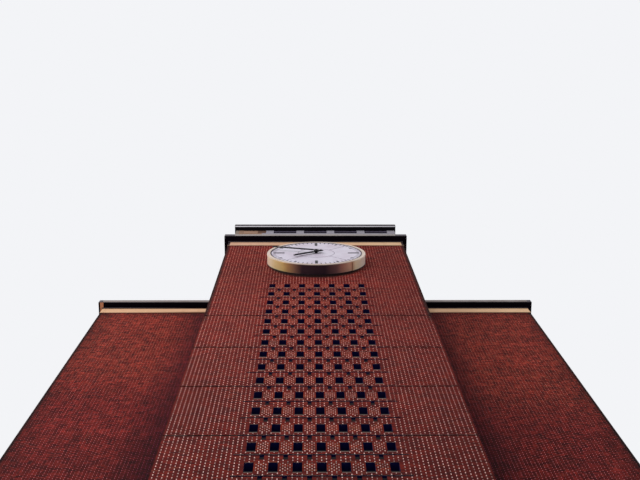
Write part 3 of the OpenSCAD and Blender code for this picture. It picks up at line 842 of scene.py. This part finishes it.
def wall_runs(proud):
    """Every outer wall face as side, plane, from and to, for a band that stands so far out of the wall."""
    h, w = HALF_W + proud, WING_X + proud
    return [
        ("front", -FRONT_Y, -h, h), ("back", BACK_Y, -h, h),
        ("right", HALF_W, FRONT_Y, WING_Y - proud), ("right", HALF_W, WING_BACK_Y + proud, BACK_Y),
        ("left", HALF_W, -WING_Y + proud, -FRONT_Y), ("left", HALF_W, -BACK_Y, -WING_BACK_Y - proud),
        ("front", -WING_Y, h, w), ("front", -WING_Y, -w, -h),
        ("back", WING_BACK_Y, h, w), ("back", WING_BACK_Y, -w, -h),
        ("right", WING_X, WING_Y, WING_BACK_Y), ("left", WING_X, -WING_BACK_Y, -WING_Y),
    ]


def band(name, low, high, inner, outer, material, bevel):
    """A band round all the walls, between two heights and between two distances out of the wall."""
    spans = [face_box(*run, low, high, inner, outer) for run in wall_runs(outer)]
    boxes(name, spans, material, bevel)


hole_sills()
FRIEZE = 0.008
BEAD_BACK = FRIEZE - 0.004
band("frieze_shadow_course", BRICK_TOP - 0.034, BRICK_TOP - 0.001, 0.0, FRIEZE - 0.001,
     brick_in_shade, 0.001)
band("frieze_lower_bead", BRICK_TOP + 0.002, BRICK_TOP + 0.042, BEAD_BACK, FRIEZE + 0.006,
     cream, 0.002)
# A dark bead under the soffit, as painted shadow along the frieze's top
band("soffit_shadow_bead", WALL_TOP - 0.06, WALL_TOP, BEAD_BACK, FRIEZE + 0.012, slab, 0.003)


# Sheet metal on the slabs' edges
def fascia(name, side, plane, u0, u1, z0, z1, material, seam=1.2, lip=0.004):
    """Sheet metal on a slab's edge: a plate, a drip along its foot, a fold over its top, lapped seams."""
    fold = 0.003 if side in ("front", "back") else 0.0024
    half_lap = 0.012
    spans = [
        face_box(side, plane, u0, u1, z0 + 0.004, z1 + 0.002, 0.0, 0.002),
        face_box(side, plane, u0, u1, z0, z0 + 0.012, 0.0, lip),
        face_box(side, plane, u0, u1, z1, z1 + fold, -0.06, 0.003),
    ]
    count = max(1, round((u1 - u0) / seam))
    for k in range(1, count):
        at = u0 + (u1 - u0) * k / count
        lap = (at - half_lap, at + half_lap, z0 + 0.002, z1 + 0.0045, -0.0005, 0.0035)
        spans.append(face_box(side, plane, *lap))
    boxes(name, spans, material, 0.0008)


def rim(low, high, past=0.0):
    """The four sides of a block as side, plane, from and to. Front and back reach past its corners."""
    return (
        ("front", -low.y, low.x - past, high.x + past), ("back", high.y, -high.x - past, -low.x + past),
        ("right", high.x, low.y, high.y), ("left", -low.x, -high.y, -low.y),
    )


def roof_edges():
    """The metal round the three slabs at the walls' top, as name, side, plane, from, to and material."""
    bay_lo, bay_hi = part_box("bay_roof")
    left_lo, left_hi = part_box("wing_left_roof")
    right_lo, right_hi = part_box("wing_right_roof")
    pale_from, pale_to = -1.815, 1.795
    dark_end = 0.09
    joint_a, joint_b = left_lo.x + dark_end, right_hi.x - dark_end
    edges = []
    for side, plane in (("front", -bay_lo.y), ("back", bay_hi.y)):
        edges += [
            (f"bay_{side}", side, plane, pale_from, pale_to, flashing_pale),
            (f"bay_{side}_end_a", side, plane, bay_lo.x, pale_from, flashing_dark),
            (f"bay_{side}_end_b", side, plane, pale_to, bay_hi.x, flashing_dark)]
    edges += [
        ("bay_right_front", "right", bay_hi.x, bay_lo.y, right_lo.y, flashing_dark),
        ("bay_right_back", "right", bay_hi.x, right_hi.y, bay_hi.y, flashing_dark),
        ("bay_left_front", "left", -bay_lo.x, -left_lo.y, -bay_lo.y, flashing_dark),
        ("bay_left_back", "left", -bay_lo.x, -bay_hi.y, -left_hi.y, flashing_dark)]
    for side, plane in (("front", -left_lo.y), ("back", left_hi.y)):
        edges += [
            (f"wing_{side}_a", side, plane, joint_a, left_hi.x, flashing),
            (f"wing_{side}_a_end", side, plane, left_lo.x, joint_a, flashing_dark),
            (f"wing_{side}_b", side, plane, right_lo.x, joint_b, flashing),
            (f"wing_{side}_b_end", side, plane, joint_b, right_hi.x, flashing_dark)]
    return edges + [
        ("wing_left_side", "left", -left_lo.x, -left_hi.y, -left_lo.y, flashing_dark),
        ("wing_right_side", "right", right_hi.x, right_lo.y, right_hi.y, flashing_dark)]


for tag, side, plane, low, high, material in roof_edges():
    fascia(f"fascia_{tag}", side, plane, low, high, WALL_TOP, ROOF_TOP, material)


def lantern_trims():
    """A sill band on the lantern's base wall, a facing on its infill and metal on its cap's edges."""
    wall_lo, wall_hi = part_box("lantern_base_front")
    corner_lo = Vector((wall_lo.x, wall_lo.y))
    corner_hi = Vector((wall_hi.x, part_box("lantern_base_back")[1].y))
    sides = rim(corner_lo, corner_hi, 0.0015)
    sill = [face_box(*run, wall_hi.z - 0.045, wall_hi.z, -0.004, 0.0015) for run in sides]
    boxes("lantern_sill_band", sill, pale_grey, 0.002)
    fill_lo, fill_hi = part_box("lantern_infill")
    heights = (fill_lo.z, fill_hi.z - 0.006)
    depths = (corner_lo.y - fill_lo.y, -0.004)
    facing = face_box("front", -corner_lo.y, fill_lo.x, fill_hi.x, *heights, *depths)
    boxes("lantern_infill_facing", [facing], tan, 0.002)
    cap_lo, cap_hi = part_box("lantern_cap")
    for side, *run in rim(cap_lo, cap_hi):
        fascia(f"lantern_cap_edge_{side}", side, *run, cap_lo.z, cap_hi.z, flashing_dark, 1.6, 0.003)


lantern_trims()


# The clock: rings and ticks on the dial, beads on the drum, its seam, and ridges on the hands
def on_clock(angle, radius, across, y):
    """A place on the clock. angle is in degrees clockwise from 12, and across is at right angles to it."""
    turned = math.radians(angle)
    x = radius * math.sin(turned) + across * math.cos(turned)
    z = radius * math.cos(turned) - across * math.sin(turned)
    return (x, y, z + CLOCK_Z)


def ring(name, profile, material, slot, count=192, body="tower"):
    """A closed profile of radius and y, turned round the clock's middle."""
    quads = []
    for k in range(count):
        start, end = 360 * k / count, 360 * ((k + 1) % count) / count
        for (r0, y0), (r1, y1) in zip(profile, profile[1:] + profile[:1]):
            quads.append([on_clock(start, r0, 0, y0), on_clock(start, r1, 0, y1),
                          on_clock(end, r1, 0, y1), on_clock(end, r0, 0, y0)])
    weld(from_quads(name, quads, material, body=body))


def bar(front, back):
    """Quads of a bar between four front corners and four back ones, anticlockwise from the front."""
    quads = [front, back[::-1]]
    for here, there in ((0, 1), (1, 2), (2, 3), (3, 0)):
        quads.append([back[here], back[there], front[there], front[here]])
    return quads


def corners(angle, r0, r1, w0, w1, y):
    """The corners of a face along a radius, w0 wide at r0 and w1 at r1, anticlockwise from the front."""
    places = ((r0, -w0 / 2), (r0, w0 / 2), (r1, w1 / 2), (r1, -w1 / 2))
    return [on_clock(angle, *place, y) for place in places]


def spoke(angle, r0, r1, width, front_y, back_y):
    """Quads of a bar along a radius."""
    return bar(*(corners(angle, r0, r1, width, width, y) for y in (front_y, back_y)))


def rib(name, body, angle, r0, r1, w0, w1, face, height):
    """A tapered ridge of so much height along a hand, with sloped sides and a narrow crest."""
    crest = corners(angle, r0 + 0.02, r1 - 0.03, w0 * 0.4, w1 * 0.4, face - height)
    foot = corners(angle, r0, r1, w0, w1, face + 0.001)
    from_quads(name, bar(crest, foot), black_paint, body=body)


def flat_ring(inner, outer, thick):
    """The profile of a flat ring that lies on the dial."""
    return [(inner, DIAL_Y), (inner, DIAL_Y - thick), (outer, DIAL_Y - thick), (outer, DIAL_Y)]


def dial_lines():
    """The minute ring and its ticks, a thin inner ring and the dial's four seams."""
    thick, thin = 0.0015, 0.001
    line_from, line_to = 0.370, 0.380
    ring("dial_minute_ring", flat_ring(DIAL_R - 0.023, DIAL_R - 0.001, thick), ring_paint, "clock_black")
    ticks = []
    for minute in range(60):
        if minute % 5:
            ticks += spoke(6 * minute, DIAL_R - 0.105, DIAL_R - 0.02, 0.019, DIAL_Y - thick, DIAL_Y)
    from_quads("dial_minute_ticks", ticks, ring_paint)
    ring("dial_inner_ring", flat_ring(line_from, line_to, thin), enamel_line, "dial")
    seams = []
    for angle in (45, 135, 225, 315):
        seams += spoke(angle, line_to, DIAL_R - 0.08, 0.011, DIAL_Y - thin, DIAL_Y)
    from_quads("dial_seams", seams, enamel_line)


def drum_trims():
    """Beads on the bezel and the drum's rim, the drum's lapped seam, and mastic along the wall."""
    ring("bezel_bead", [
        (DIAL_R + 0.002, BEZEL_FRONT + 0.002), (DIAL_R + 0.004, BEZEL_FRONT - 0.004),
        (DIAL_R + 0.010, BEZEL_FRONT - 0.006), (DIAL_R + 0.016, BEZEL_FRONT - 0.004),
        (DIAL_R + 0.018, BEZEL_FRONT + 0.002)], bezel_paint, "bezel")
    ring("drum_rim_bead", [
        (DRUM_R - 0.004, BEZEL_BACK - 0.002), (DRUM_R + 0.004, BEZEL_BACK),
        (DRUM_R + 0.005, BEZEL_BACK + 0.008), (DRUM_R - 0.004, BEZEL_BACK + 0.012)], gold, "drum")
    lap = spoke(134.6, DRUM_R - 0.002, DRUM_R + 0.003, 0.024, BEZEL_BACK + 0.012, FRONT_Y - 0.004)
    from_quads("drum_seams", lap, seam_metal)
    ring("drum_wall_mastic", [
        (DRUM_R - 0.004, FRONT_Y - 0.004), (DRUM_R - 0.004, FRONT_Y - 0.012),
        (DRUM_R + 0.006, FRONT_Y - 0.010), (DRUM_R + 0.010, FRONT_Y - 0.004)], black_paint, "drum")


def hand_ridges():
    """A ridge on each hand and on its tail, given by its far end and two widths, and a cap on the hub."""
    root, tail_end = 0.06, 0.142
    hands = (
        ("minute", MINUTE_AT, HUB_Y + 0.012, 0.0105, (DRUM_R - 0.06, 0.044, 0.028), (tail_end, 0.042, 0.036)),
        ("hour", HOUR_AT, HOUR_FACE, 0.012, (DRUM_R - 0.455, 0.052, 0.034), (tail_end, 0.048, 0.042)),
    )
    for hand, angle, face, height, blade, tail in hands:
        rib(f"{hand}_hand_rib", f"{hand}_hand", angle, root, *blade, face, height)
        rib(f"{hand}_tail_rib", f"{hand}_hand", angle - 180, root, *tail, face, height)
    foot = HUB_Y + 0.006
    cap = [(0.0, HUB_Y), (0.012, HUB_Y), (0.016, HUB_Y + 0.003), (0.018, foot), (0.0, foot)]
    ring("minute_hub_cap", cap, black_paint, "clock_black", 48, "minute_hand")


dial_lines()
drum_trims()
hand_ridges()

# Stage, light and camera
bpy.ops.mesh.primitive_plane_add(size=600)
floor = bpy.context.object
floor.name = "floor"
ground = Graph("floor_pale", roughness=0.95, specular=0.1)
ground.put(ground.surface.inputs["Base Color"], srgb(226, 224, 222))
floor.data.materials.append(ground.material)


def pale_world():
    """A near-white sky for the camera and in reflections, and a weaker one that lights the tower."""
    world = bpy.data.worlds.new("studio")
    bpy.context.scene.world = world
    world.use_nodes = True
    sky = Nodes(world.node_tree)
    sky.tree.nodes.clear()
    ray = sky.tree.nodes.new("ShaderNodeLightPath").outputs
    output = sky.tree.nodes.new("ShaderNodeOutputWorld")
    seen = sky.most(ray["Is Camera Ray"], ray["Is Glossy Ray"], ray["Is Transmission Ray"])
    lighting = sky.add("Background", {"Color": (0.96, 0.97, 1.0), "Strength": 0.62})
    backdrop = sky.add("Background", {"Color": srgb(243, 244, 247), "Strength": 1.0})
    sky.put(output.inputs[0], sky.add("MixShader", {0: seen, 1: lighting, 2: backdrop}))


def lamp(name, kind, energy, towards):
    """A lamp that shines along a direction."""
    data = bpy.data.lights.new(name, kind)
    data.energy = energy
    made = bpy.data.objects.new(name, data)
    bpy.context.scene.collection.objects.link(made)
    made.rotation_mode = "QUATERNION"
    made.rotation_quaternion = Vector(towards).to_track_quat("-Z", "Y")
    return made


pale_world()
sun = lamp("sun", "SUN", 0.75, (0.42, 0.80, -0.55))
sun.data.angle = math.radians(10)
soft_lamp = lamp("soft_lamp", "AREA", 1300, (10.0, 12.0, -4.0))
soft_lamp.data.shape = "DISK"
soft_lamp.data.size = 7.0
soft_lamp.location = (-11.0, -14.0, 22.0)
soft_lamp.visible_camera = False

# The photo's camera, as it was fitted: turns in radians, place in metres, the rest in pixels
YAW, PITCH, ROLL = 0.0491090889, 1.34692143, -0.047978439
CAMERA_X, CAMERA_AHEAD, CAMERA_Z = -0.1453, 5.1624, 0.81
FOCAL_PX, SHIFT_X_PX, SHIFT_Y_PX, PICTURE_PX = 1028.8758, -0.4, 0.6, 640
SENSOR_MM = 36.0


def photo_camera():
    ahead = Vector((math.sin(YAW), math.cos(YAW), 0))
    aside = Vector((math.cos(YAW), -math.sin(YAW), 0))
    overhead = Vector((0, 0, 1))
    look = math.cos(PITCH) * ahead + math.sin(PITCH) * overhead
    level_up = -math.sin(PITCH) * ahead + math.cos(PITCH) * overhead
    right = math.cos(ROLL) * aside + math.sin(ROLL) * level_up
    up = -math.sin(ROLL) * aside + math.cos(ROLL) * level_up
    data = bpy.data.cameras.new("camera")
    data.sensor_width = SENSOR_MM
    data.lens = SENSOR_MM * FOCAL_PX / PICTURE_PX
    data.shift_x = SHIFT_X_PX / PICTURE_PX
    data.shift_y = SHIFT_Y_PX / PICTURE_PX
    data.clip_start = 0.1
    data.clip_end = 500
    camera = bpy.data.objects.new("camera", data)
    bpy.context.scene.collection.objects.link(camera)
    turn = Matrix((right, up, -look)).transposed()
    place = Matrix.Translation((CAMERA_X, FRONT_Y - CAMERA_AHEAD, CAMERA_Z))
    camera.matrix_world = place @ turn.to_4x4()
    bpy.context.scene.camera = camera


photo_camera()
bpy.context.scene.view_settings.view_transform = "Standard"
